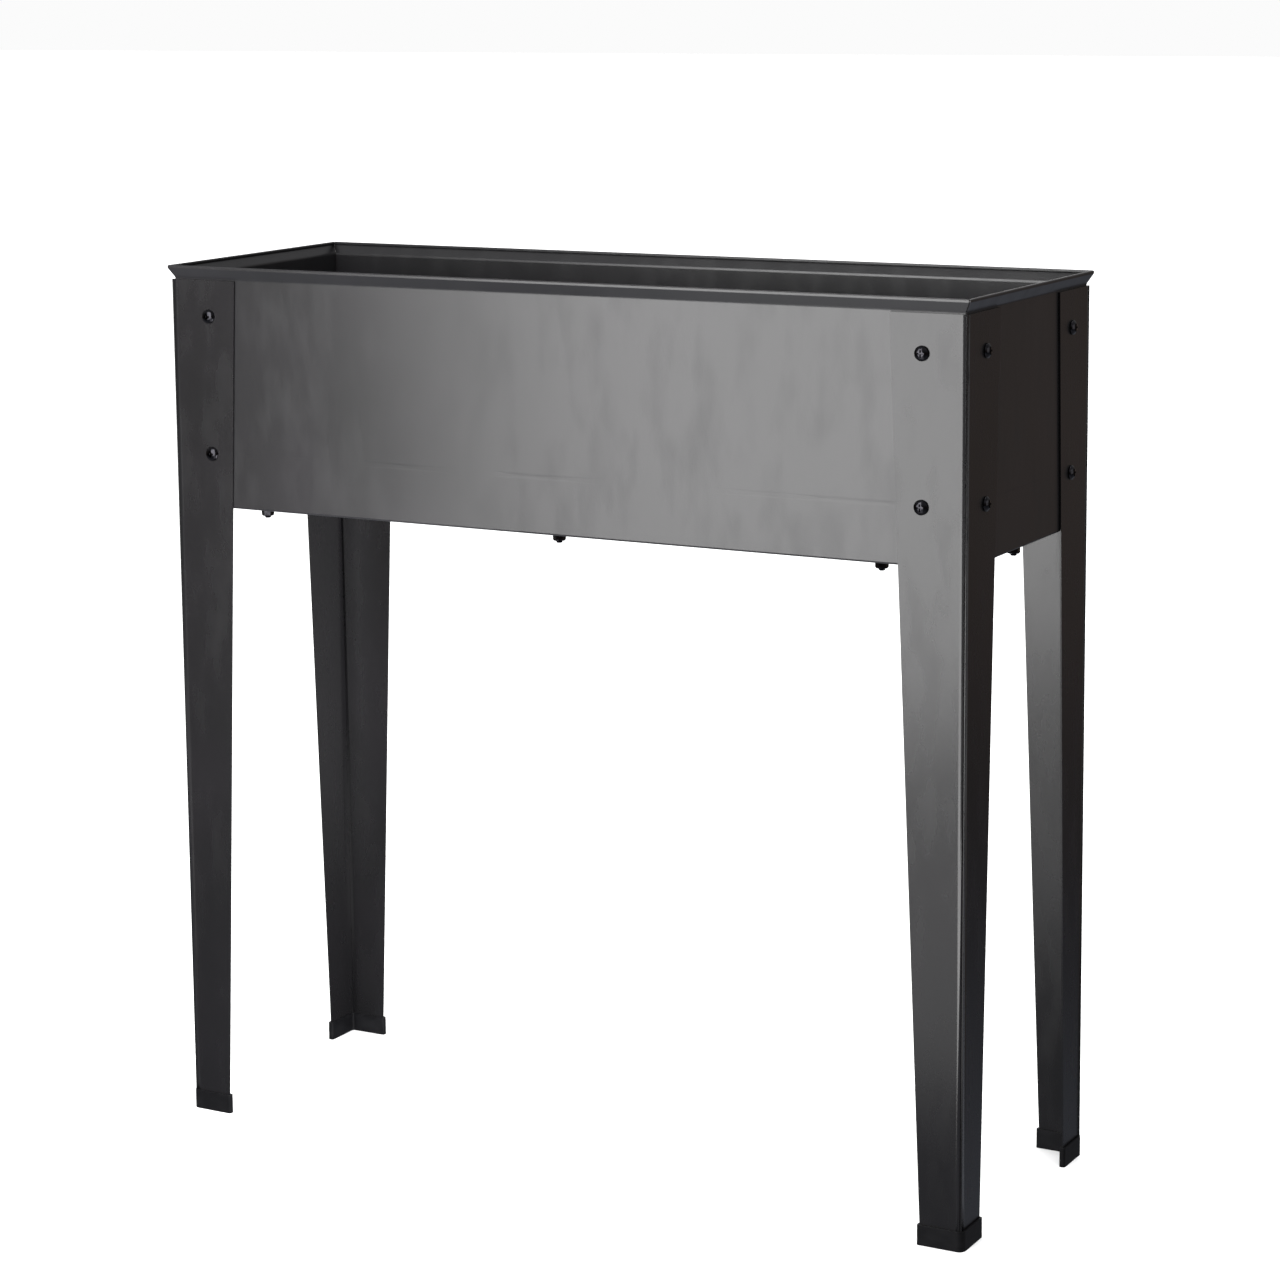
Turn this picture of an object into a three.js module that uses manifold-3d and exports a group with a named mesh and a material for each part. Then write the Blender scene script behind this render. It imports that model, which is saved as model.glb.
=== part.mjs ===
// A raised planter: a slim sheet-steel trough on four tapered angle legs, bolted together.
// Millimetres, +Z up. The origin is on the ground under the middle of the trough,
// the long front face looks along -Y and the right end looks along +X.
import * as THREE from "three";
import { mergeVertices } from "three/addons/utils/BufferGeometryUtils.js";
import Module from "manifold-3d";

const wasm = await Module();
wasm.setup();

// Driving dimensions
const LEGS_LENGTH = 790; // outside faces of the legs, along X
const LEGS_DEPTH = 270; // outside faces of the legs, along Y
const RIM_TOP = 806; // top of the rim above the ground
const TROUGH_BOTTOM = 583; // underside of the trough above the ground
const GAP = 0.3; // clearance between pieces that touch

const LEG_TOP = 793;
const LEG_SHEET = 1.5;
const LEG_FOLD_RADIUS = 2.1; // outside radius of the fold down each leg
const FLANGE_AT_GROUND = 38; // each flange tapers from the top to this width
const FLANGE_AT_TOP = 69;

const PANEL_SHEET = 1;
const RETURN_FLANGE = 35; // inward flange along the bottom of each panel
const RIM_REACH = 5; // how far the rim stands out from its panel
const RIM_FLARE = 9; // height over which it leans out
const RIM_FLARE_RADIUS = 5; // of the easy bend at the foot of the flare
const RIM_STRAIGHT = 2; // upright lip above the flare
const HEM_DROP = 1.8; // the lip is folded back inwards by this much
const HEM_PITCH = 1.6; // between the two layers of the fold
const MITRE_BACK = 0.25; // each panel stops this short of the corner's diagonal

const CAP_HEIGHT = 18;
const CAP_BASE = 2;
const CAP_WALL = 1.8;
const CAP_CORNER_RADIUS = 6;

const SCREW_RADIUS = 2.9;
const HOLE_RADIUS = 3.3; // clearance holes in the sheets
const HEAD_RADIUS = 6.5;
const HEAD_HEIGHT = 3.4;
const SHANK_LENGTH = 12;
const RECESS_LENGTH = 5.6; // cross recess in the head
const RECESS_WIDTH = 1.2;
const RECESS_DEPTH = 1.7;
const NUT_ACROSS_FLATS = 10;
const NUT_HEIGHT = 5;
const LOCK_NUT_HEIGHT = 7; // of the nuts under the floor
const NUT_BORE_RADIUS = 3.2;
const SCREW_INSET = 40; // leg screws stand this far from the fold
const SCREW_HEIGHTS = { upper: 760, lower: 633 };

const FLOOR_SHEET = 1;
const FLOOR_MARGIN = 2.5; // the floor stops this far inside the panels' outer faces
const FLOOR_SCREW_INSET = { long: 20, end: 12 }; // from the panels' outer faces
const FLOOR_SCREW_PITCH = 310; // along the long panels
const DRAIN_RADIUS = 4;
const DRAIN_ROW_OFFSET = 60;
const DRAIN_PITCH = 150;
const DRAINS_PER_ROW = 5;

const ROUND_STEPS = 12; // sides of a small round hole or shank
const BEND_STEPS = 3; // facets in a bend of the sheet
const THROUGH = 20; // length of a cutter that passes right through a sheet

// Derived places
const PANEL_INSET = LEG_SHEET + GAP; // the panels stand just inside the legs
const HALF_LENGTH = LEGS_LENGTH / 2 - PANEL_INSET;
const HALF_DEPTH = LEGS_DEPTH / 2 - PANEL_INSET;
const PANEL_HEIGHT = RIM_TOP - TROUGH_BOTTOM;
const FLOOR_BOTTOM = TROUGH_BOTTOM + PANEL_SHEET + GAP;
const FLOOR_TOP = FLOOR_BOTTOM + FLOOR_SHEET;
const LEG_BOTTOM = CAP_BASE + GAP;

const coat = { color: 0x3b3a3c, roughness: 0.45, metalness: 0.3 };
const FINISH = {
  panel: coat,
  leg: coat,
  floor: { color: 0x343336, roughness: 0.5, metalness: 0.3 },
  cap: { color: 0x1d1d1f, roughness: 0.65, metalness: 0 },
  screw: { color: 0x1a1a1c, roughness: 0.35, metalness: 0.8 },
  nut: { color: 0x8f9194, roughness: 0.35, metalness: 1 },
};

// Turns a closed geometry into a solid that can be cut and joined.
function solidOf(geometry) {
  const bare = geometry.clone();
  bare.deleteAttribute("normal");
  bare.deleteAttribute("uv");
  const merged = mergeVertices(bare, 1e-4);
  return new wasm.Manifold(
    new wasm.Mesh({
      numProp: 3,
      vertProperties: merged.attributes.position.array,
      triVerts: new Uint32Array(merged.index.array),
    }),
  );
}

function geometryOf(solid) {
  const mesh = solid.getMesh();
  const geometry = new THREE.BufferGeometry();
  geometry.setAttribute("position", new THREE.BufferAttribute(mesh.vertProperties, 3));
  geometry.setIndex(new THREE.BufferAttribute(mesh.triVerts, 1));
  geometry.computeVertexNormals();
  return geometry;
}

function cut(geometry, tools) {
  return geometryOf(tools.reduce((rest, tool) => rest.subtract(solidOf(tool)), solidOf(geometry)));
}

function join(geometry, additions) {
  return geometryOf(additions.reduce((rest, more) => rest.add(solidOf(more)), solidOf(geometry)));
}

// A rod along an axis ("x", "y" or "z"), centred on a point.
function rod(radius, length, axis, centre, sides = ROUND_STEPS) {
  const geometry = new THREE.CylinderGeometry(radius, radius, length, sides);
  if (axis === "x") geometry.rotateZ(Math.PI / 2);
  if (axis === "z") geometry.rotateX(Math.PI / 2);
  return geometry.translate(...centre);
}

function block(size, centre) {
  return new THREE.BoxGeometry(...size).translate(...centre);
}

// A closed outline extruded along +Z from a height.
function prism(shape, height, bottom) {
  const settings = { depth: height, bevelEnabled: false, curveSegments: BEND_STEPS * 2 };
  return new THREE.ExtrudeGeometry(shape, settings).translate(0, 0, bottom);
}

// The polyline through the corners, each inner corner rounded to its own radius.
function bentLine(corners) {
  const points = [];
  corners.forEach(({ at, radius }, i) => {
    if (!radius) {
      points.push(at.clone());
      return;
    }
    const before = corners[i - 1].at.clone().sub(at).normalize();
    const after = corners[i + 1].at.clone().sub(at).normalize();
    const halfAngle = Math.acos(THREE.MathUtils.clamp(before.dot(after), -1, 1)) / 2;
    const reach = radius / Math.tan(halfAngle);
    const towards = before.clone().add(after).normalize();
    const centre = at.clone().add(towards.multiplyScalar(radius / Math.sin(halfAngle)));
    const start = at.clone().add(before.multiplyScalar(reach)).sub(centre);
    const end = at.clone().add(after.multiplyScalar(reach)).sub(centre);
    const turn = Math.atan2(start.cross(end), start.dot(end));
    for (let k = 0; k <= BEND_STEPS; k++)
      points.push(start.clone().rotateAround(new THREE.Vector2(), (turn * k) / BEND_STEPS).add(centre));
  });
  return points;
}

// The outline of a bent sheet: its middle line, offset to both sides by half its thickness.
function sheetOutline(corners, thickness) {
  const line = bentLine(corners);
  const side = (sign) =>
    line.map((point, i) => {
      const before = point.clone().sub(line[Math.max(i - 1, 0)]);
      const after = line[Math.min(i + 1, line.length - 1)].clone().sub(point);
      const along = before.normalize().add(after.normalize()).normalize();
      const straight = (after.lengthSq() ? after : before).normalize();
      const spread = Math.abs(along.dot(straight)) || 1;
      const across = new THREE.Vector2(-along.y, along.x);
      return point.clone().add(across.multiplyScalar((sign * thickness) / 2 / spread));
    });
  return new THREE.Shape([...side(1), ...side(-1).reverse()]);
}

// The section of a trough panel: u is outwards from the outer face, v is up from the bottom.
function panelOutline() {
  const half = PANEL_SHEET / 2;
  const lip = RIM_REACH - half;
  const lipBottom = PANEL_HEIGHT - half - RIM_STRAIGHT;
  const corner = (u, v, radius = 0) => ({ at: new THREE.Vector2(u, v), radius });
  return sheetOutline(
    [
      corner(-RETURN_FLANGE, half),
      corner(-half, half, 1.5),
      corner(-half, lipBottom - RIM_FLARE, RIM_FLARE_RADIUS),
      corner(lip, lipBottom, 1),
      corner(lip, PANEL_HEIGHT - half, 0.78),
      corner(lip - HEM_PITCH, PANEL_HEIGHT - half, 0.78),
      corner(lip - HEM_PITCH, PANEL_HEIGHT - half - HEM_DROP),
    ],
    PANEL_SHEET,
  );
}

// A panel that looks along -Y, with its outer face at y = -offset and mitred ends.
function panelGeometry(halfRun, offset, screwRun, screwInset) {
  const geometry = new THREE.ExtrudeGeometry(panelOutline(), { depth: 1, bevelEnabled: false });
  const position = geometry.getAttribute("position");
  for (let i = 0; i < position.count; i++) {
    const [u, v] = [position.getX(i), position.getY(i)];
    const end = position.getZ(i) > 0 ? -1 : 1; // the two ends go out to the mitres
    position.setXYZ(i, end * (halfRun + u - MITRE_BACK), -offset - u, TROUGH_BOTTOM + v);
  }
  const legScrews = [-1, 1].flatMap((side) =>
    Object.values(SCREW_HEIGHTS).map((height) =>
      rod(HOLE_RADIUS, THROUGH, "y", [side * (halfRun + PANEL_INSET - SCREW_INSET), -offset, height]),
    ),
  );
  const floorScrews = screwRun.map((x) =>
    rod(HOLE_RADIUS, THROUGH, "z", [x, screwInset - offset, TROUGH_BOTTOM]),
  );
  return cut(geometry, [...legScrews, ...floorScrews]);
}

// Where the floor screws stand: three along each long side and one in each end.
const SCREW_RUN = { left: -FLOOR_SCREW_PITCH, middle: 0, right: FLOOR_SCREW_PITCH };
const screwRow = (side, y) => Object.entries(SCREW_RUN).map(([name, x]) => [`${side}_${name}`, [x, y]]);
const floorScrewPlaces = Object.fromEntries([
  ...screwRow("front", FLOOR_SCREW_INSET.long - HALF_DEPTH),
  ...screwRow("rear", HALF_DEPTH - FLOOR_SCREW_INSET.long),
  ["left_end", [FLOOR_SCREW_INSET.end - HALF_LENGTH, 0]],
  ["right_end", [HALF_LENGTH - FLOOR_SCREW_INSET.end, 0]],
]);

// The floor sheet with its screw holes and drain holes.
function floorGeometry() {
  const size = [2 * (HALF_LENGTH - FLOOR_MARGIN), 2 * (HALF_DEPTH - FLOOR_MARGIN), FLOOR_SHEET];
  const sheet = block(size, [0, 0, FLOOR_BOTTOM + FLOOR_SHEET / 2]);
  const holes = Object.values(floorScrewPlaces).map(([x, y]) =>
    rod(HOLE_RADIUS, THROUGH, "z", [x, y, FLOOR_TOP]),
  );
  const drains = [-1, 1].flatMap((side) =>
    Array.from({ length: DRAINS_PER_ROW }, (_, i) => {
      const x = (i - (DRAINS_PER_ROW - 1) / 2) * DRAIN_PITCH;
      return rod(DRAIN_RADIUS, THROUGH, "z", [x, side * DRAIN_ROW_OFFSET, FLOOR_TOP]);
    }),
  );
  return cut(sheet, [...holes, ...drains]);
}

// An L outline with its outside corner at the origin and its arms along +X and +Y.
function angleOutline(arm, thickness, outerRadius, innerRadius, origin = 0) {
  const shape = new THREE.Shape();
  const [far, inner] = [origin + arm, origin + thickness];
  shape.moveTo(far, origin);
  shape.lineTo(far, inner);
  shape.lineTo(inner + innerRadius, inner);
  shape.absarc(inner + innerRadius, inner + innerRadius, innerRadius, -Math.PI / 2, Math.PI, true);
  shape.lineTo(inner, far);
  shape.lineTo(origin, far);
  shape.lineTo(origin, origin + outerRadius);
  shape.absarc(origin + outerRadius, origin + outerRadius, outerRadius, Math.PI, Math.PI * 1.5, false);
  return shape;
}

// What the taper takes off the flange along +X: a wedge outside its slanted edge.
function taperWedge() {
  const slope = (FLANGE_AT_TOP - FLANGE_AT_GROUND) / LEG_TOP;
  const [low, high] = [-THROUGH, LEG_TOP + THROUGH];
  const wedge = new THREE.Shape([
    new THREE.Vector2(FLANGE_AT_GROUND + slope * low, low),
    new THREE.Vector2(FLANGE_AT_TOP + THROUGH, low),
    new THREE.Vector2(FLANGE_AT_TOP + THROUGH, high),
    new THREE.Vector2(FLANGE_AT_GROUND + slope * high, high),
  ]);
  const settings = { depth: THROUGH, bevelEnabled: false };
  return new THREE.ExtrudeGeometry(wedge, settings).rotateX(Math.PI / 2).translate(0, THROUGH / 2, 0);
}

function legGeometry() {
  const outline = angleOutline(FLANGE_AT_TOP + 1, LEG_SHEET, LEG_FOLD_RADIUS, LEG_FOLD_RADIUS - LEG_SHEET);
  const blank = prism(outline, LEG_TOP - LEG_BOTTOM, LEG_BOTTOM);
  const otherWedge = taperWedge().rotateZ(Math.PI / 2);
  const holes = Object.values(SCREW_HEIGHTS).flatMap((height) => [
    rod(HOLE_RADIUS, THROUGH, "y", [SCREW_INSET, 0, height]),
    rod(HOLE_RADIUS, THROUGH, "x", [0, SCREW_INSET, height]),
  ]);
  return cut(blank, [taperWedge(), otherWedge, ...holes]);
}

// A moulded boot over the foot of a leg, open at the top.
function capGeometry() {
  const margin = GAP + CAP_WALL;
  const slope = (FLANGE_AT_TOP - FLANGE_AT_GROUND) / LEG_TOP;
  const flange = FLANGE_AT_GROUND + slope * CAP_HEIGHT;
  const outer = angleOutline(flange + 2 * margin, LEG_SHEET + 2 * margin, CAP_CORNER_RADIUS, 1, -margin);
  const pocket = angleOutline(flange + 2 * GAP, LEG_SHEET + 2 * GAP, LEG_FOLD_RADIUS, 0.3, -GAP);
  return cut(prism(outer, CAP_HEIGHT, 0), [prism(pocket, CAP_HEIGHT, CAP_BASE)]);
}

// A screw with its shank along -Y and the underside of its head at the origin.
function screwGeometry() {
  const profile = [
    [0, -SHANK_LENGTH],
    [SCREW_RADIUS - 0.5, -SHANK_LENGTH],
    [SCREW_RADIUS, -SHANK_LENGTH + 0.7],
    [SCREW_RADIUS, 0],
    [HEAD_RADIUS, 0],
    [HEAD_RADIUS, HEAD_HEIGHT * 0.2],
    [HEAD_RADIUS * 0.86, HEAD_HEIGHT * 0.66],
    [HEAD_RADIUS * 0.5, HEAD_HEIGHT * 0.95],
    [0, HEAD_HEIGHT],
  ].map(([radius, height]) => new THREE.Vector2(radius, height));
  const turned = new THREE.LatheGeometry(profile, ROUND_STEPS);
  const slot = (turn) =>
    block([RECESS_LENGTH, RECESS_DEPTH * 2, RECESS_WIDTH], [0, HEAD_HEIGHT, 0]).rotateY(turn);
  return cut(turned, [slot(Math.PI / 4), slot(-Math.PI / 4)]);
}

// A hexagon nut along Y with its near face at the origin, away from +Y.
function nutGeometry() {
  const hexagon = rod(NUT_ACROSS_FLATS / Math.sqrt(3), NUT_HEIGHT, "y", [0, -NUT_HEIGHT / 2, 0], 6);
  return cut(hexagon, [rod(NUT_BORE_RADIUS, NUT_HEIGHT + 2, "y", [0, -NUT_HEIGHT / 2, 0])]);
}

// A screw for the floor with its locking nut run up under the trough, joined as one solid.
function floorScrewGeometry() {
  const nutTop = TROUGH_BOTTOM - FLOOR_TOP - 2 * GAP;
  const nutMiddle = nutTop - LOCK_NUT_HEIGHT / 2;
  const nut = rod(NUT_ACROSS_FLATS / Math.sqrt(3), LOCK_NUT_HEIGHT, "y", [0, nutMiddle, 0], 6);
  return join(screwGeometry(), [nut]);
}

function named(name, geometry, finish) {
  const mesh = new THREE.Mesh(geometry, new THREE.MeshStandardMaterial(finish));
  mesh.name = name;
  return mesh;
}

function placed(mesh, position, rotation = [0, 0, 0]) {
  mesh.position.set(...position);
  mesh.rotation.set(...rotation);
  return mesh;
}

function trough() {
  const group = new THREE.Group();
  const long = panelGeometry(HALF_LENGTH, HALF_DEPTH, Object.values(SCREW_RUN), FLOOR_SCREW_INSET.long);
  const short = panelGeometry(HALF_DEPTH, HALF_LENGTH, [0], FLOOR_SCREW_INSET.end);
  group.add(
    named("front_panel", long, FINISH.panel),
    placed(named("rear_panel", long, FINISH.panel), [0, 0, 0], [0, 0, Math.PI]),
    placed(named("right_end_panel", short, FINISH.panel), [0, 0, 0], [0, 0, Math.PI / 2]),
    placed(named("left_end_panel", short, FINISH.panel), [0, 0, 0], [0, 0, -Math.PI / 2]),
    named("floor_panel", floorGeometry(), FINISH.floor),
  );
  const screw = floorScrewGeometry();
  for (const [name, [x, y]] of Object.entries(floorScrewPlaces)) {
    const mesh = named(`floor_screw_${name}`, screw, FINISH.screw);
    group.add(placed(mesh, [x, y, FLOOR_TOP + GAP], [Math.PI / 2, 0, 0]));
  }
  return group;
}

// One leg with its foot cap, screws and nuts. Its fold stands at the group's origin.
function corner(name, sides) {
  const group = new THREE.Group();
  group.add(named(`leg_${name}`, legGeometry(), FINISH.leg));
  group.add(named(`foot_cap_${name}`, capGeometry(), FINISH.cap));
  const nutDepth = PANEL_INSET + PANEL_SHEET + GAP;
  const flanges = [
    { side: sides[0], at: (depth, height) => [SCREW_INSET, depth, height], turn: Math.PI },
    { side: sides[1], at: (depth, height) => [depth, SCREW_INSET, height], turn: Math.PI / 2 },
  ];
  for (const { side, at, turn } of flanges)
    for (const [level, height] of Object.entries(SCREW_HEIGHTS)) {
      const label = `${name}_${side}_${level}`;
      const screw = named(`leg_screw_${label}`, screwGeometry(), FINISH.screw);
      const nut = named(`leg_nut_${label}`, nutGeometry(), FINISH.nut);
      group.add(placed(screw, at(-GAP, height), [0, 0, turn]));
      group.add(placed(nut, at(nutDepth, height), [0, 0, turn]));
    }
  return group;
}

const corners = [
  { name: "front_left", at: [-1, -1], turn: 0, sides: ["front", "end"] },
  { name: "front_right", at: [1, -1], turn: Math.PI / 2, sides: ["end", "front"] },
  { name: "rear_right", at: [1, 1], turn: Math.PI, sides: ["rear", "end"] },
  { name: "rear_left", at: [-1, 1], turn: -Math.PI / 2, sides: ["end", "rear"] },
];

const planter = new THREE.Group();
planter.add(trough());
for (const { name, at, turn, sides } of corners) {
  const place = [(at[0] * LEGS_LENGTH) / 2, (at[1] * LEGS_DEPTH) / 2, 0];
  planter.add(placed(corner(name, sides), place, [0, 0, turn]));
}

export default planter;
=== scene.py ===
"""Looks for a raised planter: a folded sheet-steel trough on four tapered angle legs."""

import logging
import math
from dataclasses import dataclass, field
from enum import Enum
from functools import lru_cache
from typing import Iterable, Protocol, Sequence

import bmesh
import bpy
from mathutils import Matrix, Vector


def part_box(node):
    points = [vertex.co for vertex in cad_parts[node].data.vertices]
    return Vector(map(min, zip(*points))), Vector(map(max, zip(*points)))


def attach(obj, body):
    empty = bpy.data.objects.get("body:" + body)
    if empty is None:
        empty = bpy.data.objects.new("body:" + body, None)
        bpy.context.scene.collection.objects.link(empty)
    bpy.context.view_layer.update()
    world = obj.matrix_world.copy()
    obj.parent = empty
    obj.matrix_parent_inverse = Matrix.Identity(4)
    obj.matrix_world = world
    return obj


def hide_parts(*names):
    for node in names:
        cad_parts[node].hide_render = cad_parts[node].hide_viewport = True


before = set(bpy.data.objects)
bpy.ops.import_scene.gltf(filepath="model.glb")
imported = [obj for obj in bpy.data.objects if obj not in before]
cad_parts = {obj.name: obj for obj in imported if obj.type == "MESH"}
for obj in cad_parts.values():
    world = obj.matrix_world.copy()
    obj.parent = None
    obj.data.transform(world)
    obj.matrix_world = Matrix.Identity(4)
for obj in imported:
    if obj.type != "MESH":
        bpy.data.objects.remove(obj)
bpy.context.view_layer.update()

LOG = logging.getLogger("planter")
MM = 0.001
GAP = 0.3 * MM  # between pieces that touch, as in the frame
EPSILON = 0.01 * MM
BODY = "root"


class Slot(str, Enum):
    """The record's material slots."""

    SHEET = "coated_sheet"
    CAP = "foot_cap"
    SCREW = "screw"
    NUT = "nut"


class Side(Enum):
    """The four sides of the trough, each with its turn about +Z from the front."""

    FRONT = 0.0
    RIGHT = math.pi / 2
    REAR = math.pi
    LEFT = -math.pi / 2

    def turned(self) -> Matrix:
        """The turn from the front to this side."""
        return Matrix.Rotation(self.value, 4, "Z")


# ---------------------------------------------------------------- materials


def linear(colour: str, strength: float = 1.0) -> tuple[float, float, float, float]:
    """Turns an sRGB hex colour to the linear values that a socket takes.

    Args:
        colour: Six hex digits after a hash.
        strength: A factor on the linear values.

    Returns:
        Red, green, blue and an alpha of 1.
    """
    values = (int(colour[i : i + 2], 16) / 255 for i in (1, 3, 5))
    curve = (v / 12.92 if v <= 0.04045 else ((v + 0.055) / 1.055) ** 2.4 for v in values)
    red, green, blue = (strength * v for v in curve)
    return red, green, blue, 1.0


def per_metre(size: float) -> float:
    """The texture scale that draws one cell of a pattern at this real size in metres."""
    return 1.0 / size


def add_node(
    tree: bpy.types.NodeTree,
    kind: str,
    values: dict | None = None,
    links: dict | None = None,
    **settings: object,
) -> bpy.types.Node:
    """Adds one node to a tree.

    Args:
        tree: The tree to add to.
        kind: The node's type name.
        values: Input names or numbers, with their values.
        links: Input names or numbers, with the sockets that feed them.
        settings: The node's own attributes.

    Returns:
        The new node.
    """
    node = tree.nodes.new(kind)
    for name, value in settings.items():
        setattr(node, name, value)
    for name, value in (values or {}).items():
        node.inputs[name].default_value = value
    for name, socket in (links or {}).items():
        tree.links.new(socket, node.inputs[name])
    return node


def surface(name: str) -> tuple[bpy.types.Material, bpy.types.NodeTree, bpy.types.Node]:
    """Starts a material with one Principled shader.

    Args:
        name: The material's name.

    Returns:
        The material, its tree and its Principled node.
    """
    material = bpy.data.materials.new(name)
    material.use_nodes = True
    tree = material.node_tree
    tree.nodes.clear()
    shader = add_node(tree, "ShaderNodeBsdfPrincipled")
    add_node(tree, "ShaderNodeOutputMaterial", links={"Surface": shader.outputs["BSDF"]})
    return material, tree, shader


def noise(
    tree: bpy.types.NodeTree,
    size: float,
    stretch: tuple[float, float, float] = (1, 1, 1),
    detail: float = 2.0,
    contrast: tuple[float, float] = (0.3, 0.7),
) -> bpy.types.NodeSocket:
    """A soft random pattern on Object coordinates.

    Args:
        tree: The material's tree.
        size: The pattern's cell in metres.
        stretch: How many times longer the cells are along each axis.
        detail: How many finer layers are added.
        contrast: The raw values that become 0 and 1.

    Returns:
        A value from 0 to 1.
    """
    place = add_node(tree, "ShaderNodeTexCoord").outputs["Object"]
    scale = tuple(per_metre(size) / s for s in stretch)
    mapped = add_node(tree, "ShaderNodeMapping", {"Scale": scale}, {"Vector": place})
    cloud = add_node(
        tree,
        "ShaderNodeTexNoise",
        {"Scale": 1.0, "Detail": detail},
        {"Vector": mapped.outputs["Vector"]},
    )
    spread = add_node(
        tree,
        "ShaderNodeMapRange",
        {"From Min": contrast[0], "From Max": contrast[1]},
        {"Value": cloud.outputs["Fac"]},
    )
    return spread.outputs["Result"]


def blend_between(
    tree: bpy.types.NodeTree,
    factor: bpy.types.NodeSocket,
    low: tuple[float, ...] | bpy.types.NodeSocket,
    high: tuple[float, ...],
) -> bpy.types.NodeSocket:
    """Mixes two colours by a factor.

    Args:
        tree: The material's tree.
        factor: 0 for the low colour, 1 for the high one.
        low: A colour, or a socket that gives one.
        high: The other colour.

    Returns:
        The mixed colour.
    """
    mix = add_node(tree, "ShaderNodeMix", {7: high}, {0: factor}, data_type="RGBA")
    if isinstance(low, bpy.types.NodeSocket):
        tree.links.new(low, mix.inputs[6])
    else:
        mix.inputs[6].default_value = low
    return mix.outputs[2]


def spread_between(
    tree: bpy.types.NodeTree, factor: bpy.types.NodeSocket, low: float, high: float
) -> bpy.types.NodeSocket:
    """Turns a factor from 0 to 1 into a number from low to high."""
    node = add_node(tree, "ShaderNodeMapRange", {"To Min": low, "To Max": high}, {"Value": factor})
    return node.outputs["Result"]


def raised(
    tree: bpy.types.NodeTree,
    height: bpy.types.NodeSocket,
    depth: float,
    under: bpy.types.NodeSocket | None = None,
) -> bpy.types.NodeSocket:
    """Turns a height pattern into a surface normal.

    Args:
        tree: The material's tree.
        height: The pattern, from 0 to 1.
        depth: How high 1 stands, in metres.
        under: A normal that this one is added to.

    Returns:
        The new normal.
    """
    links = {"Height": height}
    if under is not None:
        links["Normal"] = under
    bump = add_node(tree, "ShaderNodeBump", {"Strength": 1.0, "Distance": depth}, links)
    return bump.outputs["Normal"]


class Finish(Protocol):
    """Anything that can make the material of a piece."""

    def material(self) -> bpy.types.Material:
        """The finish's material."""
        ...


@dataclass(frozen=True)
class PowderCoat:
    """Satin black polyester powder coat, sprayed and baked on steel sheet.

    The eye sees a near-black skin that mirrors the room as a soft blur. It is faintly cloudy
    over a hand's breadth, has a fine grain, and the thin sheet under it is never quite flat.
    """

    name: str = "powder_coat_satin_black"
    colour: str = "#1a1a1b"
    dusty: str = "#201f21"
    roughness: float = 0.28
    rougher: float = 0.36
    grain: float = 1.4 * MM  # the real grain is 0.3 mm, too fine to show
    grain_depth: float = 0.012 * MM
    cloud: float = 90 * MM
    wave: float = 260 * MM  # the sheet's own waviness
    wave_depth: float = 0.35 * MM
    shine: float = 0.5
    crease_height: float | None = None

    @lru_cache
    def material(self) -> bpy.types.Material:
        """The finish's material."""
        material, tree, shader = surface(self.name)
        shader.inputs["Specular IOR Level"].default_value = self.shine
        cloud = noise(tree, self.cloud, (1, 1, 1.6), 4.0)
        film = noise(tree, self.cloud / 5, (1, 1, 3), 3.0, (0.45, 0.8))
        tint = blend_between(tree, cloud, linear(self.colour), linear(self.dusty))
        tree.links.new(tint, shader.inputs["Base Color"])
        rough = spread_between(tree, film, self.roughness, self.rougher)
        tree.links.new(rough, shader.inputs["Roughness"])
        normal = raised(tree, noise(tree, self.wave, detail=1.0), self.wave_depth)
        normal = raised(tree, noise(tree, self.grain, detail=1.0), self.grain_depth, normal)
        if self.crease_height is not None:
            normal = raised(tree, self.crease(tree), 0.12 * MM, normal)
        tree.links.new(normal, shader.inputs["Normal"])
        return material

    def crease(self, tree: bpy.types.NodeTree) -> bpy.types.NodeSocket:
        """A faint level line where the sheet was pulled between its screws.

        Args:
            tree: The material's tree.

        Returns:
            Its height pattern.
        """
        place = add_node(tree, "ShaderNodeTexCoord").outputs["Object"]
        level = add_node(tree, "ShaderNodeSeparateXYZ", links={0: place}).outputs["Z"]
        away = add_node(
            tree, "ShaderNodeMath", {1: self.crease_height}, {0: level}, operation="SUBTRACT"
        )
        size = add_node(tree, "ShaderNodeMath", links={0: away.outputs[0]}, operation="ABSOLUTE")
        band = add_node(
            tree,
            "ShaderNodeMapRange",
            {"From Min": 0.0, "From Max": 3 * MM},
            {"Value": size.outputs[0]},
            interpolation_type="SMOOTHSTEP",
        )
        patches = noise(tree, 120 * MM, contrast=(0.4, 0.6))
        line = add_node(
            tree,
            "ShaderNodeMath",
            links={0: band.outputs["Result"], 1: patches},
            operation="MAXIMUM",
        )
        return line.outputs[0]


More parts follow.
